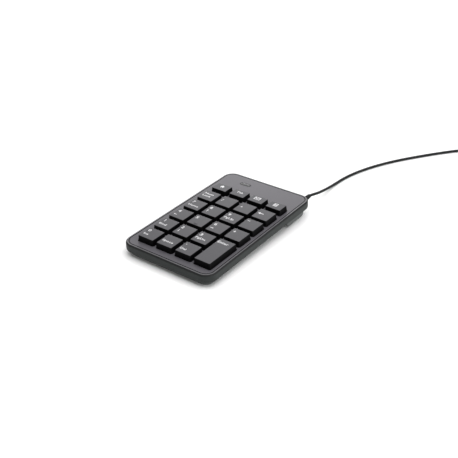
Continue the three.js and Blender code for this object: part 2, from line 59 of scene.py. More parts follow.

# %% [markdown]
# A small keypad is photographed from about half a metre with a normal lens, from the front right
# and 30 degrees above the desk. The camera's turn is built from three plain angles, so that each
# can be read and changed alone.

# %% Camera
AZIMUTH = math.radians(36.15)
ELEVATION = math.radians(30.32)
ROLL = math.radians(0.36)
camera_data = bpy.data.cameras.new("camera")
camera_data.lens = 61.34
camera_data.sensor_width = 36
camera_data.shift_x = -0.0011
camera_data.shift_y = 0.0011
camera = bpy.data.objects.new("camera", camera_data)
bpy.context.scene.collection.objects.link(camera)
camera.matrix_world = (
    Matrix.Translation((0.34192, -0.45533, 0.33622))
    @ Matrix.Rotation(AZIMUTH, 4, "Z")
    @ Matrix.Rotation(math.pi / 2 - ELEVATION, 4, "X")
    @ Matrix.Rotation(ROLL, 4, "Z")
)
bpy.context.scene.camera = camera
print("camera height, m:", camera.location.z)

# %% [markdown]
# A lead is a fixed length of something round and springy. Its free stretch sinks from the strain
# relief to the desk and wanders off, and its points are listed. The part that is put away is a
# coil:
# four layers, wound outside to inside and back, so its turns are worked out by a loop. The last
# stretch comes down off the coil into the plug.

# %% Route of the lead
LEAD = 2.6 * MM
LEAD_ROUTE = [
    (37, 82.5, 12.45), (37.6, 90, 11.1), (37.3, 98, 9), (35.9, 107.4, 6.5), (34.8, 117, 4.2),
    (34, 126, 2.6), (33.7, 134, 1.7), (33.9, 141, 1.4), (34.2, 147, 1.4), (35, 154, 1.4),
    (36.6, 163, 1.4), (39, 173, 1.4), (42.4, 184, 1.4), (46.8, 195.5, 1.4), (52.2, 207.5, 1.4),
    (58.4, 219.5, 1.4), (65.4, 231.5, 1.4), (73.2, 244, 1.4), (81.8, 257, 1.4), (91, 270, 1.4),
    (100.4, 281.4, 1.5), (110, 291, 1.7), (118.5, 297.8, 1.9), (126.6, 302, 1.9),
]
LAST_ROUTE = [
    (158.2, 277, 9), (158.6, 270, 7.9), (159.2, 263, 6.2), (159.8, 256, 4.7), (160, 249.2, 4.1),
]
COIL_MIDDLE = (136, 284)
COIL_OUTER = 19.7
COIL_INNER = 9.3
COIL_HALFWAY = 14.2
COIL_LAYERS = [
    (4.0, COIL_OUTER, COIL_INNER), (4.0, COIL_INNER, COIL_OUTER),
    (2.14, COIL_OUTER, COIL_HALFWAY), (2.124, COIL_HALFWAY, COIL_OUTER),
]
LAYER_HEIGHT = 2.6
CLIMB_TURNS = 0.35
COIL_LOW = 1.9
START_ANGLE = 95


def coil_points(per_turn=14):
    """The coil's turns, clockwise from above: each turn steps in or out by a lead's width."""
    points = []
    done = 0.0
    for layer, (turns, start, end) in enumerate(COIL_LAYERS):
        count = round(turns * per_turn)
        for step in range(count):
            share = step / count
            angle = math.radians(START_ANGLE) - 2 * math.pi * (done + share * turns)
            radius = start + (end - start) * share
            climb = min(1.0, share * turns / CLIMB_TURNS) if layer else 1.0
            rise = layer - 1 + climb * climb * (3 - 2 * climb) if layer else 0
            points.append((
                COIL_MIDDLE[0] + radius * math.cos(angle),
                COIL_MIDDLE[1] + radius * math.sin(angle),
                COIL_LOW + LAYER_HEIGHT * rise,
            ))
        done += turns
    top_layer = len(COIL_LAYERS) - 1
    points.append((
        COIL_MIDDLE[0] + COIL_OUTER, COIL_MIDDLE[1], COIL_LOW + top_layer * LAYER_HEIGHT,
    ))
    return points


def path_length(points):
    """Length of a list of points, in metres."""
    return sum((Vector(b) - Vector(a)).length for a, b in zip(points, points[1:])) * MM


ROUTE = LEAD_ROUTE + coil_points() + LAST_ROUTE
lead_length = path_length(ROUTE)
print("lead points:", len(ROUTE), "length, m:", round(lead_length, 3))

# %% [markdown]
# A round wire through those points is one curve with a round bevel, and its handles keep it smooth.

# %% Lead


def link(piece):
    """Shows a new piece in the scene."""
    bpy.context.scene.collection.objects.link(piece)
    return piece


def round_line(name, points, radius, resolution=3, sides=3):
    """A smooth round wire through points in millimetres."""
    data = bpy.data.curves.new(name, "CURVE")
    data.dimensions = "3D"
    data.bevel_depth = radius
    data.bevel_resolution = sides
    data.use_fill_caps = True
    data.resolution_u = resolution
    data.render_resolution_u = resolution
    spline = data.splines.new("BEZIER")
    spline.bezier_points.add(len(points) - 1)
    for knot, point in zip(spline.bezier_points, points):
        knot.co = Vector(point) * MM
        knot.handle_left_type = "AUTO"
        knot.handle_right_type = "AUTO"
    return link(bpy.data.objects.new(name, data))


lead = round_line("lead", ROUTE, LEAD / 2)
print("lead knots:", len(lead.data.splines[0].bezier_points))

# %% [markdown]
# Every material is built the same way: a plastic, rubber or metal skin whose colour and roughness
# drift a little over the surface, and a fine grain that only tilts the light. A small class wraps a
# shader socket so that the sums behind the patterns read like sums.

# %% Shader arithmetic


class Flow:
    """A value on its way through a material: arithmetic on it adds Math nodes."""

    def __init__(self, paint, socket):
        self.paint = paint
        self.socket = socket

    def sum(self, operation, first, second, third=None):
        sockets = {0: first, 1: second}
        if third is not None:
            sockets[2] = third
        return self.paint.node("ShaderNodeMath", {"operation": operation}, sockets)

    def __add__(self, other):
        return self.sum("ADD", self, other)

    def __radd__(self, other):
        return self.sum("ADD", other, self)

    def __sub__(self, other):
        return self.sum("SUBTRACT", self, other)

    def __rsub__(self, other):
        return self.sum("SUBTRACT", other, self)

    def __mul__(self, other):
        return self.sum("MULTIPLY", self, other)

    def __rmul__(self, other):
        return self.sum("MULTIPLY", other, self)

    def above(self, edge, soft):
        """0 below the edge and 1 above it, with a soft step."""
        return self.paint.node(
            "ShaderNodeMapRange",
            {"interpolation_type": "SMOOTHSTEP"},
            {"Value": self, "From Min": edge - soft, "From Max": edge + soft},
            "Result",
        )


class Paint:
    """One material, with its Principled skin and the piece's own coordinates."""

    def __init__(self, name):
        self.material = bpy.data.materials.new(name)
        self.material.use_nodes = True
        self.tree = self.material.node_tree
        self.skin = self.tree.nodes["Principled BSDF"]
        self.place = self.node("ShaderNodeTexCoord", out="Object")

    def feed(self, socket, value):
        if isinstance(value, Flow):
            self.tree.links.new(value.socket, socket)
        else:
            socket.default_value = value

    def node(self, kind, settings=None, sockets=None, out=0):
        made = self.tree.nodes.new(kind)
        for key, value in (settings or {}).items():
            setattr(made, key, value)
        for key, value in (sockets or {}).items():
            self.feed(made.inputs[key], value)
        return Flow(self, made.outputs[out])

    def set(self, **sockets):
        """Sets or links the skin's sockets, named with _ for a space."""
        for key, value in sockets.items():
            self.feed(self.skin.inputs[key.replace("_", " ")], value)
        return self

    def noise(self, size, detail=2.0, rough=0.5, place=None):
        """Noise whose blotches are about this many millimetres across."""
        return self.node(
            "ShaderNodeTexNoise",
            {"noise_dimensions": "3D"},
            {
                "Vector": place or self.place,
                "Scale": 1 / (size * MM),
                "Detail": detail,
                "Roughness": rough,
            },
            "Fac",
        )

    def mix(self, mask, low, high):
        """A colour between two colours."""
        return self.node(
            "ShaderNodeMix", {"data_type": "RGBA"}, {0: mask, 6: low, 7: high}, out=2
        )

    def bump(self, height, depth):
        """Tilts the surface by a height that runs from 0 to 1 over so many millimetres."""
        normal = self.node(
            "ShaderNodeBump",
            {},
            {"Height": height, "Distance": depth * MM, "Strength": 1.0},
            "Normal",
        )
        self.set(Normal=normal)
        return self

    def height_over(self, origin, up):
        """Distance above a plane, in millimetres."""
        shifted = self.node(
            "ShaderNodeVectorMath", {"operation": "SUBTRACT"}, {0: self.place, 1: origin}
        )
        metres = self.node(
            "ShaderNodeVectorMath", {"operation": "DOT_PRODUCT"}, {0: shifted, 1: up}, "Value"
        )
        return metres * 1000


def shade(color, factor):
    """A colour made lighter or darker, with its alpha."""
    return tuple(channel * factor for channel in color) + (1.0,)


print("shader helpers ready")

# %% [markdown]
# Moulded plastic takes the texture of its steel mould: a fine even grain, sometimes a slow drift
# of gloss where the melt cooled at another rate. The grain is far smaller than a key, so it shows
# mostly as a soft highlight.

# %% Plastics


def moulded(name, color, roughness, grain=0.35, depth=0.01, drift=0.06):
    """Textured injection-moulded plastic."""
    paint = Paint(name)
    slow = paint.noise(14, 3)
    fine = paint.noise(grain, 2, 0.6)
    tone = slow * 0.7 + fine * 0.3
    paint.set(
        Base_Color=paint.mix(tone, shade(color, 1 - drift), shade(color, 1 + drift)),
        Roughness=roughness - 0.06 + 0.12 * (slow * 0.5 + fine * 0.5),
        IOR=1.5,
    )
    return paint.bump(fine, depth)


BASE_PAINT = moulded("matt grey base", (0.07, 0.078, 0.075), 0.55, grain=0.5, depth=0.02)
GUIDE_PAINT = moulded("black key guide", (0.008, 0.008, 0.009), 0.6)
CHIP_PAINT = moulded("moulded chip", (0.012, 0.012, 0.013), 0.5)
SOCKET_PAINT = moulded("cream socket", (0.72, 0.70, 0.62), 0.5)
TONGUE_PAINT = moulded("white plug tongue", (0.78, 0.78, 0.76), 0.45)
PLUG_PAINT = moulded("black plug overmould", (0.012, 0.012, 0.013), 0.5, grain=0.4, depth=0.015)
print("plastics:", len(bpy.data.materials))

# %% [markdown]
# The case leans forward by about two degrees, on a riser under its back, and its pieces are
# easier to draw flat. So each one is drawn with its z = 0 on the face of the key panel, in
# millimetres, and then put in place by one matrix. The object itself stays at the origin, with
# its place in its mesh.

# %% The leaning case
TILT = math.radians(1.9)
SETBACK = -0.12 * MM
LIFT = 13.7 * MM
UP = Vector((0, -math.sin(TILT), math.cos(TILT)))
PANEL_ORIGIN = Vector((0, SETBACK, LIFT))
LEAN = Matrix.Translation(PANEL_ORIGIN) @ Matrix.Rotation(TILT, 4, "X") @ Matrix.Scale(MM, 4)
FLAT = Matrix.Scale(MM, 4)
SMOOTH_ANGLE = math.radians(35)
BIG_FACE = 20


def skin(piece, paint):
    """Gives a piece its only material."""
    piece.data.materials.clear()
    piece.data.materials.append(paint.material)
    return piece


def from_bmesh(name, cage):
    """Turns a finished cage into a shown object."""
    mesh = bpy.data.meshes.new(name)
    cage.to_mesh(mesh)
    cage.free()
    return link(bpy.data.objects.new(name, mesh))


def smooth(piece, angle=SMOOTH_ANGLE):
    """Rounded shading, with creases kept at more than an angle, and flat tops kept flat."""
    piece.data.set_sharp_from_angle(angle=angle)
    for face in piece.data.polygons:
        face.use_smooth = abs(face.normal.z) < 0.9999 and face.area < BIG_FACE
    return piece


def baked(piece):
    """The piece as a plain mesh, with its modifiers or its curve made real."""
    ready = piece.evaluated_get(bpy.context.evaluated_depsgraph_get())
    mesh = bpy.data.meshes.new_from_object(ready)
    name = piece.name
    bpy.data.objects.remove(piece)
    mesh.name = name
    return link(bpy.data.objects.new(name, mesh))


def settle(piece, matrix, body="case"):
    """Moves the mesh itself to its place, and makes it ride on a body of the frame."""
    piece.data.transform(matrix)
    piece.data.update()
    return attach(piece, body)


def bevel(piece, width, segments=3, **settings):
    """Adds a live Bevel whose width is in millimetres of the drawing or metres of the place."""
    modifier = piece.modifiers.new("Bevel", "BEVEL")
    modifier.width = width
    modifier.segments = segments
    for key, value in settings.items():
        setattr(modifier, key, value)
    return modifier


def rounded_outline(half_width, half_depth, radius, steps=6, middle=(0, 0)):
    """Points of a rounded rectangle, anticlockwise, with an arc at each corner."""
    points = []
    for quarter, (sx, sy) in enumerate([(1, 1), (-1, 1), (-1, -1), (1, -1)]):
        centre = (middle[0] + sx * (half_width - radius), middle[1] + sy * (half_depth - radius))
        for step in range(steps + 1):
            angle = math.radians(90 * (quarter + step / steps))
            points.append((
                centre[0] + radius * math.cos(angle), centre[1] + radius * math.sin(angle),
            ))
    return points


def loft(name, rings, join_ends=False, cap_ends=False):
    """A skin over rings of equally many points, each ring a list of (x, y, z)."""
    cage = bmesh.new()
    rows = [[cage.verts.new(point) for point in ring] for ring in rings]
    pairs = list(zip(rows, rows[1:]))
    if join_ends:
        pairs.append((rows[-1], rows[0]))
    for lower, upper in pairs:
        for i in range(len(lower)):
            j = (i + 1) % len(lower)
            cage.faces.new((lower[i], lower[j], upper[j], upper[i]))
    if cap_ends:
        cage.faces.new(rows[0][::-1])
        cage.faces.new(rows[-1])
    bmesh.ops.recalc_face_normals(cage, faces=cage.faces)
    return from_bmesh(name, cage)


print("lean, degrees:", round(math.degrees(TILT), 2))

# %% [markdown]
# Cover and key caps are black mouldings whose top faces are sprayed with a satin grey coat. The
# spray stops at each edge, so edges, grooves and key sides stay black. One material can do that,
# because where the coat lies depends only on how high a point is above the key panel. On the rim
# the black also runs from the lip's outer edge down the rounded top of the side wall to a set
# level,
# below which the wall has its own tone: that black band is painted shade. The coat is also what
# shines, so the same mask drives the skin's clear coat, and the plastic under it hardly reflects.

# %% Satin coat
COAT_SOFT_EDGE = 0.03
# The rim's band of painted shade reaches down to this height above the panel, and blends into the
# wall's own tone over this width.
SHADE_BAND_LOW = -1.05
SHADE_BAND_BLEND = 0.25


def coated(name, level, under, coat, roughness=0.5, wall=None):
    """Black plastic with a satin coat above a level, and if asked another tone lower down; the
    black left between the coat and that tone is a band of painted shade.
    """
    paint = Paint(name)
    height = paint.height_over(tuple(PANEL_ORIGIN), tuple(UP))
    top = height.above(level, COAT_SOFT_EDGE)
    slow = paint.noise(13, 3)
    fine = paint.noise(0.35, 2, 0.6)
    tone = slow * 0.55 + fine * 0.45
    satin = paint.mix(tone, shade(coat, 0.93), shade(coat, 1.07))
    plastic = paint.mix(fine, shade(under, 0.8), shade(under, 1.3))
    # On the rim, the black left above this level and below the coat is painted shade on the top of
    # the side wall.
    if wall:
        side = paint.mix(tone, shade(wall, 0.9), shade(wall, 1.1))
        plastic = paint.mix(height.above(SHADE_BAND_LOW, SHADE_BAND_BLEND), side, plastic)
    paint.set(
        Base_Color=paint.mix(top, plastic, satin),
        Roughness=roughness + 0.08 * slow - 0.1 * top,
        Coat_Weight=0.45 * top,
        Coat_Roughness=0.38,
        Specular_IOR_Level=0.25 if wall else 0.06,
    )
    return paint.bump(fine, 0.008)


PANEL_PAINT = coated("satin key panel", -0.09, (0.004, 0.004, 0.0045), (0.083, 0.079, 0.089))
# The rim's black band between the lip's coat and the wall tone is painted shade.
RIM_PAINT = coated(
    "satin lip, painted shade band and side wall", -0.07, (0.004, 0.0042, 0.0045), (0.08, 0.078, 0.084),
    wall=(0.017, 0.0205, 0.0195),
)
print("coats ready")

# %% [markdown]
# The keys stand on a 19 mm grid, with four shallow keys across the back and a tall Enter key that
# takes two rows. Their places are worked out from that spacing, as on the real moulding.

# %% Key layout
PITCH = 19
KEYS_MIDDLE_X = 2.2
FIRST_ROW_Y = -57
TOP_ROW_Y = 37.5
KEY_TOP = (15.2, 15.1)
SHALLOW_TOP = (14.8, 10.7)
KEY_HEIGHT = 5
SKIRT_LOW = -1.2
SKIRT_FLARE = 1.2
ROWS = [
    ["key_0", "key_space", "key_decimal", None],
    ["key_1", "key_2", "key_3", None],
    ["key_4", "key_5", "key_6", "key_plus"],
    ["key_7", "key_8", "key_9", "key_minus"],
    ["key_num_lock", "key_divide", "key_multiply", "key_backspace"],
]
BACK_ROW = ["key_home", "key_tab", "key_mail", "key_calculator"]


def column_x(column):
    return KEYS_MIDDLE_X + (column - 1.5) * PITCH


KEYS = {}
for row, names in enumerate(ROWS):
    for column, name in enumerate(names):
        if name:
            KEYS[name] = (column_x(column), FIRST_ROW_Y + row * PITCH, *KEY_TOP)
KEYS["key_enter"] = (column_x(3), FIRST_ROW_Y + PITCH / 2, KEY_TOP[0], KEY_TOP[1] + PITCH)
for column, name in enumerate(BACK_ROW):
    KEYS[name] = (column_x(column), TOP_ROW_Y, *SHALLOW_TOP)
print("keys:", len(KEYS))

# %% [markdown]
# A key cap is a thin-walled box that flares towards its open bottom. The black plastic shows on its
# sides, and its top is coated in satin grey, which stops just inside the rounded edge. So one
# material paints both, by how high a point is above the panel. The cage is a five-sided box: edge
# weights give the corners and the top edge their own radii in one Bevel, and Solidify then makes
# the wall. The stem is a hollow post that reaches down into the key guide.

# %% Key finish
KEY_PAINT = coated(
    "two-tone key cap", KEY_HEIGHT - 0.05, (0.0015, 0.0015, 0.0018), (0.052, 0.0506, 0.0566),
)
print("key finish ready")

# %% [markdown]
# Each cap is drawn from the sizes in the layout, one function for all, and takes the finish above.

# %% Key caps
SKIRT = 1.1
CORNER_RADIUS = 0.9
TOP_EDGE = 0.42
STEM_LOW = -4.2


def add_box(cage, half_x, half_y, low, high):
    """Eight corners and six faces, in a cage."""
    made = bmesh.ops.create_cube(cage, size=1)["verts"]
    for corner in made:
        corner.co = Vector((
            math.copysign(half_x, corner.co.x),
            math.copysign(half_y, corner.co.y),
            high if corner.co.z > 0 else low,
        ))
    return made


def key_cap(name):
    x, y, width, depth = KEYS[name]
    cage = bmesh.new()
    weight = cage.edges.layers.float.new("bevel_weight_edge")
    corners = add_box(cage, width / 2, depth / 2, SKIRT_LOW, KEY_HEIGHT)
    for corner in corners:
        if corner.co.z < 0:
            corner.co.x += math.copysign(SKIRT_FLARE / 2, corner.co.x)
            corner.co.y += math.copysign(SKIRT_FLARE / 2, corner.co.y)
    cage.faces.remove(min(cage.faces, key=lambda face: face.calc_center_median().z))
    for edge in cage.edges:
        heights = [vert.co.z for vert in edge.verts]
        if min(heights) != max(heights):
            edge[weight] = 1.0
        elif min(heights) > 0:
            edge[weight] = TOP_EDGE / CORNER_RADIUS
    cap = from_bmesh(name + "_cap", cage)
    bevel(cap, CORNER_RADIUS, 4, limit_method="WEIGHT", use_clamp_overlap=False)
    wall = cap.modifiers.new("Wall", "SOLIDIFY")
    wall.thickness = SKIRT
    wall.offset = -1
    wall.use_even_offset = True
    cap = baked(cap)
    smooth(cap, math.radians(40))
    cap.data.transform(Matrix.Translation((x, y, 0)))
    skin(cap, KEY_PAINT)
    return settle(cap, LEAN, name + "_body")


for name in KEYS:
    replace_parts(key_cap(name), name)
print("caps:", len(KEYS))

# %% [markdown]
# The stem under each cap is a square post with a hollow end. It slides in the key guide's sleeve
# and pushes the rubber dome. It is a piece of its own here, riding on the same moving body as its
# cap.

# %% Key stems
STEM = 6
SHALLOW_STEM = 4
ROOF = KEY_HEIGHT - 1.3


def key_stem(name):
    x, y, _, depth = KEYS[name]
    half_depth = (SHALLOW_STEM if depth == SHALLOW_TOP[1] else STEM) / 2
    cage = bmesh.new()
    add_box(cage, STEM / 2, half_depth, STEM_LOW, ROOF + 0.2)
    bottom = min(cage.faces, key=lambda face: face.calc_center_median().z)
    bmesh.ops.inset_individual(cage, faces=[bottom], thickness=1.1)
    for vert in bottom.verts:
        vert.co.z += 2.6
    stem = from_bmesh(name + "_stem", cage)
    stem.data.transform(Matrix.Translation((x, y, 0)))
    skin(stem, KEY_PAINT)
    settle(stem, LEAN, name + "_body")
    bevel(stem, 0.15 * MM, 2)
    return stem


for name in KEYS:
    key_stem(name)
print("stems:", len(KEYS))

# %% [markdown]
# The legends are printed: a skin of white ink a few hundredths of a millimetre thick. Letters come
# from Blender's own plain font and the arrows and small pictures are filled outlines, all squeezed
# into boxes given in millimetres from the middle of their key.

# %% Ink
INK_THICK = 0.03
INK_SINK = 0.008


def ink_paint():
    """White ink, a little worn and uneven."""
    paint = Paint("white legend ink")
    patch = paint.noise(1.2, 3)
    paint.set(
        Base_Color=paint.mix(patch, (0.56, 0.56, 0.57, 1), (0.7, 0.7, 0.71, 1)),
        Roughness=0.42 + 0.12 * patch,
        IOR=1.45,
    )
    return paint.bump(patch, 0.004)


INK_PAINT = ink_paint()


def flat_mesh(data):
    """The filled mesh of a text or an outline, one unit thick."""
    data.extrude = 0.5
    made = link(bpy.data.objects.new("ink", data))
    ready = made.evaluated_get(bpy.context.evaluated_depsgraph_get())
    mesh = bpy.data.meshes.new_from_object(ready)
    bpy.data.objects.remove(made)
    return mesh


def into_box(mesh, left, right, low, high):
    """Scales a flat mesh to fill a box, and gives it the thickness of ink."""
    xs = [vert.co.x for vert in mesh.vertices]
    ys = [vert.co.y for vert in mesh.vertices]
    for vert in mesh.vertices:
        vert.co.x = left + (vert.co.x - min(xs)) / (max(xs) - min(xs)) * (right - left)
        vert.co.y = low + (vert.co.y - min(ys)) / (max(ys) - min(ys)) * (high - low)
        vert.co.z = INK_THICK if vert.co.z > 0 else 0
    return mesh


def word(body, left, right, low, high):
    data = bpy.data.curves.new("word", "FONT")
    data.body = body
    data.resolution_u = 2
    data.offset = 0.012
    return into_box(flat_mesh(data), left, right, low, high)


def figure(loops, middle, size, turn=0):
    """Filled outlines drawn about the origin, turned, scaled and moved."""
    data = bpy.data.curves.new("figure", "CURVE")
    data.dimensions = "2D"
    data.fill_mode = "BOTH"
    for loop in loops:
        spline = data.splines.new("POLY")
        spline.points.add(len(loop) - 1)
        for knot, (x, y) in zip(spline.points, loop):
            knot.co = (x, y, 0, 1)
        spline.use_cyclic_u = True
    mesh = flat_mesh(data)
    mesh.transform(Matrix.Rotation(math.radians(turn), 4, "Z"))
    for vert in mesh.vertices:
        vert.co.x = middle[0] + vert.co.x * size
        vert.co.y = middle[1] + vert.co.y * size
        vert.co.z = INK_THICK if vert.co.z > 0 else 0
    return mesh


def rectangle(left, right, low, high):
    return [(left, low), (right, low), (right, high), (left, high)]


ARROW = [[(-1, 0), (-0.3, 0.5), (-0.3, 0.14), (1, 0.14), (1, -0.14), (-0.3, -0.14), (-0.3, -0.5)]]
MINUS = [rectangle(-1, 1, -0.2, 0.2)]
PLUS = [[
    (-1, -0.2), (-0.2, -0.2), (-0.2, -1), (0.2, -1), (0.2, -0.2), (1, -0.2),
    (1, 0.2), (0.2, 0.2), (0.2, 1), (-0.2, 1), (-0.2, 0.2), (-1, 0.2),
]]
STAR = [[
    (radius * math.cos(math.radians(30 * i)), radius * math.sin(math.radians(30 * i)))
    for i in range(12)
    for radius in [1.0 if i % 2 else 0.3]
]]
DOT = [[(math.cos(math.radians(45 * i)), math.sin(math.radians(45 * i))) for i in range(8)]]
SLASH = [[(-0.5, -1), (-0.22, -1), (0.5, 1), (0.22, 1)]]
HOUSE = [[(-1, 0.05), (0, 0.95), (1, 0.05), (0.7, 0.05), (0.7, -0.8), (0.22, -0.8), (0.22, -0.2),
          (-0.22, -0.2), (-0.22, -0.8), (-0.7, -0.8), (-0.7, 0.05)]]
ENVELOPE = [
    rectangle(-1, 1, -0.72, 0.72),
    [(-0.78, 0.52), (0, -0.1), (0.78, 0.52)],
    [(-0.8, -0.52), (-0.8, 0.3), (0, -0.36), (0.8, 0.3), (0.8, -0.52)],
]
CALCULATOR = [rectangle(-0.8, 0.8, -1, 1), rectangle(-0.56, 0.56, 0.36, 0.78)] + [
    rectangle(x - 0.15, x + 0.15, y - 0.13, y + 0.13)
    for x in (-0.42, 0, 0.42)
    for y in (0.06, -0.34, -0.74)
]
ONE = [[(0.3, -1), (0.3, 1), (0.02, 1), (-0.4, 0.7), (-0.4, 0.4), (0, 0.66), (0, -1)]]
DIGIT_LOW = 1.7
DIGIT_HIGH = 4.9
LABEL_LOW = -3.3
LABEL_HIGH = -1.0
DIGIT_MIDDLE = (DIGIT_LOW + DIGIT_HIGH) / 2
DIGIT_HALF = (DIGIT_HIGH - DIGIT_LOW) / 2


def digit(text, left, right):
    """A large figure on the upper line of a key."""
    return word(text, left, right, DIGIT_LOW, DIGIT_HIGH)


def label(text, left, right):
    """A small word on the lower line of a key."""
    return word(text, left, right, LABEL_LOW, LABEL_HIGH)


LEGENDS = {
    "key_0": [digit("0", -5.8, -3.3), label("Ins", -6.1, -1.6)],
    "key_space": [word("Space", -6.2, 4.4, -2.9, 0.1)],
    "key_decimal": [figure(DOT, (-5.2, 4.2), 0.42), label("Del", -6.2, -0.8)],
    "key_1": [figure(ONE, (-4.7, DIGIT_MIDDLE), DIGIT_HALF), label("End", -6.2, 1.2)],
    "key_2": [digit("2", -5.8, -3.4), figure(ARROW, (-4.6, -2.2), 1.5, 90)],
    "key_3": [digit("3", -5.6, -3.2), word("PgDn", -6.2, 3.2, -3.8, -0.8)],
    "key_4": [digit("4", -5.6, -3.0), figure(ARROW, (-4.4, -2.8), 1.7)],
    "key_5": [digit("5", -5.8, -3.4)],
    "key_6": [digit("6", -5.8, -3.3), figure(ARROW, (-4.1, -2.8), 1.7, 180)],
    "key_plus": [figure(PLUS, (-4.4, 3.1), 1.25)],
    "key_7": [digit("7", -5.4, -3.2), label("Home", -6.1, 4.3)],
    "key_8": [digit("8", -5.8, -3.3), figure(ARROW, (-4.8, -2.0), 1.5, -90)],
    "key_9": [digit("9", -5.7, -3.2), word("PgUp", -6.2, 3.5, -3.8, -0.8)],
    "key_minus": [figure(MINUS, (-4.5, 4.2), 1.3)],
    "key_num_lock": [word("Num", -6.0, 3.0, 1.2, 3.6), word("Lock", -6.0, 2.6, -2.7, -0.2)],
    "key_divide": [figure(SLASH, (-5.0, 0.6), 1.6)],
    "key_multiply": [figure(STAR, (-3.9, 0.4), 1.35)],
    "key_backspace": [figure(ARROW, (-3.1, 0.6), 2.7)],
    "key_enter": [word("Enter", -6.6, 3.6, 11.0, 13.8)],
    "key_home": [figure(HOUSE, (-0.2, 0.9), 2.1)],
    "key_tab": [word("Tab", -3.6, 2.8, 0.0, 2.5)],
    "key_mail": [figure(ENVELOPE, (-0.8, 1.2), 2.9)],
    "key_calculator": [figure(CALCULATOR, (-0.8, 0.9), 2.3)],
}
for name, marks in LEGENDS.items():
    cage = bmesh.new()
    for mark in marks:
        cage.from_mesh(mark)
        bpy.data.meshes.remove(mark)
    bmesh.ops.remove_doubles(cage, verts=cage.verts, dist=0.0005)
    bmesh.ops.recalc_face_normals(cage, faces=cage.faces)
    legend = from_bmesh(name + "_legend", cage)
    x, y, _, _ = KEYS[name]
    legend.data.transform(Matrix.Translation((x, y, KEY_HEIGHT - INK_SINK)))
    skin(legend, INK_PAINT)
    settle(legend, LEAN, name + "_body")
print("legends:", len(LEGENDS))

# %% [markdown]
# The middle key carries a small raised bar near its front edge, so that a finger can find it. It is
# a box with fully rounded edges, part of the cap, and has the cap's own coating.

# %% Homing bar
cage = bmesh.new()
add_box(cage, 1.7, 0.32, KEY_HEIGHT - 0.2, KEY_HEIGHT + 0.35)
bar = from_bmesh("key_5_bar", cage)
bar.data.transform(Matrix.Translation((KEYS["key_5"][0], KEYS["key_5"][1] - 5.3, 0)))
skin(bar, KEY_PAINT)
settle(bar, LEAN, "key_5_body")
bevel(bar, 0.28 * MM, 4)
print("homing bar on key_5")

# %% [markdown]
# The top cover is one moulding, but it is easier as two pieces that meet in its decorative
# groove. The key panel is a flat outline with a hole for every well: Blender fills such a curve,
# gives it its thickness and rounds every edge at once. The rim, side wall and inner face are one
# closed profile carried round the case's rounded rectangle.

# %% Key panel
CASE_HALF = (44, 73.8)
CASE_CORNER = 9.5
PANEL_THICK = 1.8
WELL_MARGIN = 0.9
WELL_CORNER = 1.6
PANEL_INSET = 2.25
EDGE_ROUND = 0.18
WINDOW = {"middle": (-17.5, 60.6), "half": (5.2, 1.8), "gap": 0.3}


def case_ring(inset, z, steps=10):
    """The case's outline, moved in by an inset, at one height."""
    radius = CASE_CORNER - inset
    outline = rounded_outline(CASE_HALF[0] - inset, CASE_HALF[1] - inset, radius, steps)
    return [(x, y, z) for x, y in outline]


def flat_plate(name, outlines, thick, edge):
    """A plate with holes whose edges are all rounded."""
    data = bpy.data.curves.new(name, "CURVE")
    data.dimensions = "2D"
    data.fill_mode = "BOTH"
    data.extrude = thick / 2 - edge
    data.bevel_depth = edge
    data.bevel_resolution = 2
    data.offset = -edge
    for outline in outlines:
        spline = data.splines.new("POLY")
        spline.points.add(len(outline) - 1)
        for knot, point in zip(spline.points, outline):
            knot.co = (point[0], point[1], 0, 1)
        spline.use_cyclic_u = True
    plate = baked(link(bpy.data.objects.new(name, data)))
    cage = bmesh.new()
    cage.from_mesh(plate.data)
    bmesh.ops.remove_doubles(cage, verts=cage.verts, dist=0.001)
    cage.to_mesh(plate.data)
    cage.free()
    return plate


wells = [
    rounded_outline(w / 2 + WELL_MARGIN, d / 2 + WELL_MARGIN, WELL_CORNER, 4, (x, y))
    for x, y, w, d in KEYS.values()
]
window_hole = rounded_outline(
    WINDOW["half"][0] + WINDOW["gap"], WINDOW["half"][1] + WINDOW["gap"],
    WINDOW["half"][1] + WINDOW["gap"] - 0.01, 8, WINDOW["middle"],
)
panel_outline = [point[:2] for point in case_ring(PANEL_INSET, 0)]
panel = flat_plate("key_panel", [panel_outline, window_hole, *wells], PANEL_THICK, EDGE_ROUND)
panel.data.transform(Matrix.Translation((0, 0, -PANEL_THICK / 2)))
smooth(panel)
skin(panel, PANEL_PAINT)
settle(panel, LEAN)
print("panel faces:", len(panel.data.polygons))

# %% [markdown]
# The rim starts in the groove beside the panel, rolls over the lip and comes down the side wall.
# Its profile is listed as pairs of inset and height, from the inside out and back.

# %% Rim and side wall
RIM_PROFILE = [
    (2.4, -0.95), (1.62, -0.95), (1.56, -0.88), (1.56, -0.12), (1.52, -0.03), (1.44, 0),
    (0.5, 0), (0.32, -0.05), (0.2, -0.2), (0.2, -0.42), (0.1, -0.5), (-0.12, -0.56),
    (-0.36, -0.74), (-0.54, -1.05), (-0.66, -1.6),
    (-0.7, -2.4), (-0.7, -5.6), (-0.62, -6.4), (-0.4, -7.1), (0, -7.55), (0.6, -7.8),
    (2.7, -7.8), (2.7, -6.2), (0.9, -6.2), (0.9, -1.8), (2.4, -1.8),
]
rim = loft("rim_and_wall", [case_ring(inset, z) for inset, z in RIM_PROFILE], join_ends=True)
smooth(rim, math.radians(50))
skin(rim, RIM_PAINT)
settle(rim, LEAN)
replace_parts(rim, "top_cover")
print("rim rings:", len(RIM_PROFILE))

# %% [markdown]
# The indicator window is a pill of smoked plastic, pushed up into its hole from inside. Its face is
# slightly domed and polished, so it catches the light more sharply than the panel round it.

# %% Window


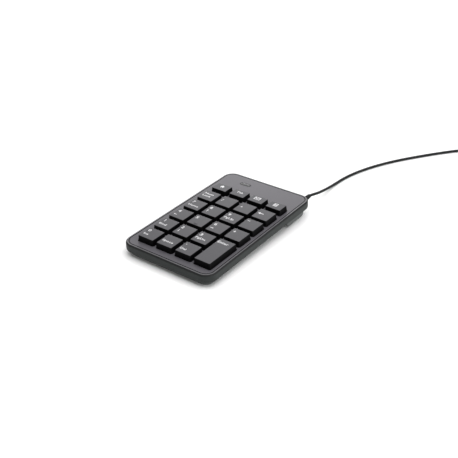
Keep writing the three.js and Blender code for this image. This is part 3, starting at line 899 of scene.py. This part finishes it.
def gloss_paint(name, color, roughness, coat):
    """Polished plastic under a clear surface."""
    paint = Paint(name)
    cloud = paint.noise(3, 2)
    paint.set(
        Base_Color=paint.mix(cloud, shade(color, 0.85), shade(color, 1.15)),
        Roughness=roughness + 0.05 * cloud,
        Coat_Weight=coat,
        Coat_Roughness=0.03,
    )
    return paint


WINDOW_PAINT = gloss_paint("smoked window", (0.006, 0.006, 0.007), 0.3, 0.15)


def pill_ring(shrink, z):
    """The window's outline, moved in by a shrink, at one height."""
    half = (WINDOW["half"][0] - shrink, WINDOW["half"][1] - shrink)
    return [(x, y, z) for x, y in rounded_outline(*half, half[1] - 0.01, 8, WINDOW["middle"])]


window = loft("window_pane", [
    pill_ring(-0.9, -1.9), pill_ring(-0.9, -1.2), pill_ring(0, -1.2), pill_ring(0, -0.3),
    pill_ring(0.12, -0.14), pill_ring(0.4, -0.06), pill_ring(0.9, -0.02),
], cap_ends=True)
smooth(window)
skin(window, WINDOW_PAINT)
settle(window, LEAN)
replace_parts(window, "led_window")
print("window faces:", len(window.data.polygons))

# %% [markdown]
# The bottom cover is a tray that plugs into the side wall, with a hollow riser across its back.
# Its screw holes, foot pockets and posts are already exact in the measured frame, so a copy of
# that solid is merged, cleared of needless edges and given small rounded edges, as its mould
# would leave them.

# %% Bottom cover


def refined(node, name, width, angle=30, dissolve=0.6):
    """A copy of a frame solid with merged corners and softened edges."""
    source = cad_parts[node]
    cage = bmesh.new()
    cage.from_mesh(source.data)
    bmesh.ops.transform(cage, matrix=source.matrix_world, verts=cage.verts)
    bmesh.ops.remove_doubles(cage, verts=cage.verts, dist=0.00001)
    bmesh.ops.dissolve_limit(
        cage, angle_limit=math.radians(dissolve), verts=cage.verts, edges=cage.edges
    )
    copy = from_bmesh(name, cage)
    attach(copy, "case")
    bevel(copy, width * MM, 2, limit_method="ANGLE", angle_limit=math.radians(angle))
    smooth(copy, math.radians(40))
    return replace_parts(copy, node)


base = refined("bottom_cover", "base_tray", 0.2)
skin(base, BASE_PAINT)
print("base faces:", len(base.data.polygons))

# %% [markdown]
# Rubber and PVC differ from hard plastic in their gloss: feet are dull and slightly dusty, and a
# lead's jacket has a low satin sheen with the same faint dusty patches.

# %% Rubber and jacket


def rubber_paint(name, color, roughness):
    """Dull rubber with dusty patches."""
    paint = Paint(name)
    dust = paint.noise(2.4, 4, 0.6)
    fine = paint.noise(0.25, 1)
    paint.set(
        Base_Color=paint.mix(dust, shade(color, 0.8), shade(color, 1.5)),
        Roughness=roughness + 0.1 * dust,
        Specular_IOR_Level=0.2,
    )
    return paint.bump(fine, 0.02)


FOOT_PAINT = rubber_paint("rubber foot", (0.02, 0.02, 0.021), 0.75)
TIE_PAINT = rubber_paint("rubber tie", (0.03, 0.03, 0.032), 0.65)
LEAD_PAINT = rubber_paint("lead jacket", (0.009, 0.0095, 0.01), 0.62)
SILICONE_PAINT = rubber_paint("silicone sheet", (0.5, 0.5, 0.48), 0.6)
skin(lead, LEAD_PAINT)
print("rubbers ready")

# %% [markdown]
# The four feet are pads with a rounded lower edge, stuck in shallow pockets. They stand flat on the
# desk while the case leans, so they are drawn upright.

# %% Feet
FOOT_HALF = (4.5, 3.2)
FOOT_HEIGHT = 1.2
for corner in ["front_left", "front_right", "back_left", "back_right"]:
    low, high = (Vector(point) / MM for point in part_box("foot_" + corner))
    middle = ((low.x + high.x) / 2, (low.y + high.y) / 2)
    rings = []
    for shrink, z in [(0.35, 0), (0.1, 0.08), (0, 0.3), (0, FOOT_HEIGHT - 0.1), (0.1, FOOT_HEIGHT)]:
        half = (FOOT_HALF[0] - shrink, FOOT_HALF[1] - shrink)
        outline = rounded_outline(*half, half[1] - 0.01, 8, middle)
        rings.append([(x, y, z) for x, y in outline])
    foot = smooth(loft("pad_" + corner, rings, cap_ends=True))
    skin(foot, FOOT_PAINT)
    settle(foot, FLAT)
    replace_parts(foot, "foot_" + corner)
print("feet: 4")

# %% [markdown]
# The strain relief is a soft tapered sleeve with cross slots, drawn here as ridges round it. A
# turned profile with ridges gives it, by the Screw modifier about its own axis, and it is then laid
# along the lead.

# %% Strain relief
EXIT_X = 37
EXIT_Z = -4
RIDGES = 5


def relief_profile():
    """Radius and distance along the lead, from the case outwards."""
    points = [(0, 67.8), (1.8, 67.8), (1.8, 71.4), (2.3, 71.4), (2.3, 74.6)]
    for ridge in range(RIDGES):
        start = 74.9 + ridge * 1.4
        outer = 2.26 - 0.1 * ridge
        points += [(outer, start), (outer, start + 0.8), (outer - 0.2, start + 0.9)]
        points += [(outer - 0.22, start + 1.3)]
    return points + [(1.7, 82.1), (1.6, 82.4), (1.35, 82.5), (0, 82.5)]


def turned(name, profile, steps=24):
    """A profile of (radius, height), from bottom to top, turned about Z and made real."""
    cage = bmesh.new()
    knots = [cage.verts.new((radius, 0, height)) for radius, height in profile[::-1]]
    for first, second in zip(knots, knots[1:]):
        cage.edges.new((first, second))
    piece = from_bmesh(name, cage)
    screw = piece.modifiers.new("Turn", "SCREW")
    screw.axis = "Z"
    screw.steps = steps
    screw.render_steps = steps
    screw.use_merge_vertices = True
    screw.merge_threshold = 0.001
    screw.use_smooth_shade = True
    piece = baked(piece)
    cage = bmesh.new()
    cage.from_mesh(piece.data)
    bmesh.ops.remove_doubles(cage, verts=cage.verts, dist=0.001)
    bmesh.ops.recalc_face_normals(cage, faces=cage.faces)
    cage.to_mesh(piece.data)
    cage.free()
    return smooth(piece, math.radians(40))


relief = turned("relief_sleeve", relief_profile())
along_lead = Matrix.Rotation(-math.pi / 2, 4, "X")
relief.data.transform(Matrix.Translation((EXIT_X, 0, EXIT_Z)) @ along_lead)
skin(relief, LEAD_PAINT)
settle(relief, LEAN)
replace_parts(relief, "strain_relief")
print("relief points:", len(relief_profile()))

# %% [markdown]
# Metals are told apart by their finish: the plug's shell is bright nickel with faint pulling marks,
# and the screws, wire and backing plate are dull zinc-plated steel. Stretched noise gives both.

# %% Metals


def metal_paint(name, color, roughness, streak):
    """Plated steel with fine marks along one direction, given as a scale for each axis."""
    paint = Paint(name)
    stretched = paint.node("ShaderNodeMapping", {}, {"Vector": paint.place, "Scale": streak})
    marks = paint.noise(0.6, 4, 0.6, stretched)
    paint.set(
        Base_Color=paint.mix(marks, shade(color, 0.85), shade(color, 1.1)),
        Metallic=1.0,
        Roughness=roughness - 0.08 + 0.16 * marks,
    )
    return paint.bump(marks, 0.004)


NICKEL_PAINT = metal_paint("nickel shell", (0.68, 0.67, 0.65), 0.24, (1, 0.12, 1))
STEEL_PAINT = metal_paint("zinc plated steel", (0.5, 0.51, 0.53), 0.38, (0.2, 1, 1))
GOLD_PAINT = metal_paint("gold contact", (0.85, 0.6, 0.25), 0.25, (1, 0.2, 1))
print("metals ready")

# %% [markdown]
# The plug lies beside the coil. Its overmould and nickel shell are exact in the frame, so they
# are refined copies. The four gold contacts on the tongue are too thin for the frame, and are
# added here as one piece.

# %% USB plug
overmould = skin(refined("usb_overmould", "plug_overmould", 0.35), PLUG_PAINT)
shell = skin(refined("usb_shell", "plug_shell", 0.1), NICKEL_PAINT)
tie = skin(refined("cord_tie", "lead_tie", 0.12), TIE_PAINT)
tongue_low, tongue_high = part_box("usb_tongue")
CONTACT_SPACING = 2.5 * MM
CONTACT_LENGTH = 7 * MM
cage = bmesh.new()
for step in (-1.5, -0.5, 0.5, 1.5):
    contact = add_box(cage, 0.5 * MM, CONTACT_LENGTH / 2, -0.12 * MM, 0.04 * MM)
    middle_x = (tongue_low[0] + tongue_high[0]) / 2 + step * CONTACT_SPACING
    for corner in contact:
        corner.co += Vector((middle_x, tongue_low[1] + 4.5 * MM, tongue_low[2]))
contacts = from_bmesh("plug_contacts", cage)
skin(contacts, GOLD_PAINT)
settle(contacts, Matrix.Identity(4))
skin(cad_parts["usb_tongue"], TONGUE_PAINT)
print("plug contacts: 4")

# %% [markdown]
# Inside the case a key's stem pushes a silicone dome onto the membrane switch. The domes buckle
# under the stems; each is a thin turned shell of its own. The rest of the stack stays as the frame
# has it, and only gets its finish.

# %% Domes
DOME_LOW = -7.6
DOME_PROFILE = [(3.4, DOME_LOW), (4.0, DOME_LOW), (3.1, -6), (2.35, -4.7), (2.1, -4.52), (0, -4.5)]
DOME_INSIDE = [(0, -5.0), (1.7, -5.1), (2.6, -6.1), (3.4, DOME_LOW)]


def dome(name):
    x, y, _, _ = KEYS[name]
    cage = bmesh.new()
    outline = DOME_INSIDE + DOME_PROFILE[1:]
    knots = [cage.verts.new((radius, 0, height)) for radius, height in outline[::-1]]
    for first, second in zip(knots, knots[1:]):
        cage.edges.new((first, second))
    piece = from_bmesh(name + "_dome", cage)
    screw = piece.modifiers.new("Turn", "SCREW")
    screw.steps = 16
    screw.render_steps = 16
    screw.use_merge_vertices = True
    screw.merge_threshold = 0.01
    piece = baked(piece)
    cage = bmesh.new()
    cage.from_mesh(piece.data)
    bmesh.ops.remove_doubles(cage, verts=cage.verts, dist=0.01)
    bmesh.ops.recalc_face_normals(cage, faces=cage.faces)
    cage.to_mesh(piece.data)
    cage.free()
    smooth(piece, math.radians(50))
    piece.data.transform(Matrix.Translation((x, y, 0)))
    skin(piece, SILICONE_PAINT)
    settle(piece, LEAN)
    name + "_press"
    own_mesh(piece)
    return piece


for name in KEYS:
    dome(name)
SHEET_HALF = (38, 55.5)
SHEET_Y = -11
POST_SPOT = (KEYS_MIDDLE_X, 29.35)
sheet_outline = rounded_outline(*SHEET_HALF, 2, 4, (0, SHEET_Y))
post_hole = rounded_outline(2.8, 2.8, 2.79, 4, POST_SPOT)
sheet = flat_plate("silicone_sheet", [sheet_outline, post_hole], 0.4, 0.05)
sheet.data.transform(Matrix.Translation((0, 0, -7.75)))
skin(sheet, SILICONE_PAINT)
settle(sheet, LEAN)
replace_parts(sheet, "dome_sheet")
print("domes:", len(KEYS))

# %% [markdown]
# The films, plate and board are flat and already exact in the frame, so they only get a finish:
# tracks from a brick texture on the films and the board, and plain tones on the rest.

# %% Switch stack and board


def film_paint():
    """Clear polyester with silver tracks printed on it."""
    paint = Paint("printed film")
    tracks = paint.node(
        "ShaderNodeTexBrick",
        {"offset": 0.5},
        {"Vector": paint.place, "Scale": 60.0, "Mortar Size": 0.03, "Mortar Smooth": 0.1},
        "Fac",
    )
    haze = paint.noise(6, 3)
    film = paint.mix(haze, (0.5, 0.54, 0.48, 1), (0.6, 0.63, 0.57, 1))
    paint.set(
        Base_Color=paint.mix(tracks, film, (0.42, 0.42, 0.43, 1)),
        Roughness=0.2 + 0.15 * haze,
    )
    return paint


def board_paint():
    """Green solder mask over copper tracks."""
    paint = Paint("green board")
    tracks = paint.node(
        "ShaderNodeTexBrick",
        {"offset": 0.35},
        {"Vector": paint.place, "Scale": 160.0, "Mortar Size": 0.05, "Mortar Smooth": 0.1},
        "Fac",
    )
    cloud = paint.noise(4, 3)
    mask = paint.mix(cloud, (0.012, 0.075, 0.03, 1), (0.016, 0.1, 0.04, 1))
    paint.set(
        Base_Color=paint.mix(tracks, mask, (0.03, 0.17, 0.06, 1)),
        Roughness=0.3 + 0.1 * cloud,
        Coat_Weight=0.4,
    )
    return paint.bump(tracks, 0.03)


FILM_PAINT = film_paint()
BOARD_PAINT = board_paint()
LED_PAINT = gloss_paint("led lens", (0.35, 0.7, 0.35), 0.15, 0.5)
FINISHES = {
    "key_guide": GUIDE_PAINT, "membrane_top": FILM_PAINT, "membrane_spacer": FILM_PAINT,
    "membrane_bottom": FILM_PAINT, "backing_plate": STEEL_PAINT, "controller_board": BOARD_PAINT,
    "controller_chip": CHIP_PAINT, "num_lock_led": LED_PAINT, "lead_socket": SOCKET_PAINT,
    "inner_lead": LEAD_PAINT, "enter_levelling_wire": STEEL_PAINT,
}
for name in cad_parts:
    if "screw" in name:
        FINISHES[name] = STEEL_PAINT
for name, paint in FINISHES.items():
    skin(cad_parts[name], paint)
print("frame nodes painted:", len(FINISHES))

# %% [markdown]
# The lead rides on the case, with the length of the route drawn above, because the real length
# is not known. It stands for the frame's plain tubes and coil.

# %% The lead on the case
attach(lead, "case")
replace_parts(lead, "cord_tube", "cord_coil", "cord_end_tube")
print("lead declared, m:", round(lead_length, 2))

# %% [markdown]
# The desk is a plain pale sheet under soft light. One wide panel overhead does most of the work,
# a second behind and to the left gives the satin plastic its sheen, a third lights the right
# side, and the pale surroundings fill in.

# %% Desk and light
floor_cage = bmesh.new()
bmesh.ops.create_grid(floor_cage, x_segments=1, y_segments=1, size=4)
floor = from_bmesh("desk", floor_cage)
floor.data.transform(Matrix.Translation((0, 0, -0.05 * MM)))
FLOOR_PAINT = Paint("pale desk")
cloud = FLOOR_PAINT.noise(180, 2)
FLOOR_PAINT.set(
    Base_Color=FLOOR_PAINT.mix(cloud, (0.86, 0.86, 0.86, 1), (0.88, 0.88, 0.88, 1)),
    Roughness=0.85,
)
skin(floor, FLOOR_PAINT)


def panel_light(name, place, aim, size, power):
    """A soft square light that faces a point."""
    data = bpy.data.lights.new(name, "AREA")
    data.size = size
    data.energy = power
    lamp = link(bpy.data.objects.new(name, data))
    lamp.location = place
    lamp.rotation_euler = (Vector(aim) - Vector(place)).to_track_quat("-Z", "Y").to_euler()


panel_light("overhead", (0.0, 0.2, 1.3), (0, 0.05, 0), 1.6, 20)
panel_light("behind left", (-1.2, 1.6, 0.4), (0, 0, 0), 0.9, 12)
panel_light("right", (1.1, 0.1, 0.5), (0.05, 0, 0), 0.9, 7)
world = bpy.data.worlds.new("surroundings")
world.use_nodes = True
world.node_tree.nodes["Background"].inputs["Color"].default_value = (1, 1, 1, 1)
world.node_tree.nodes["Background"].inputs["Strength"].default_value = 0.5
bpy.context.scene.world = world
bpy.context.scene.view_settings.view_transform = "Standard"
print("lights:", len(bpy.data.lights))
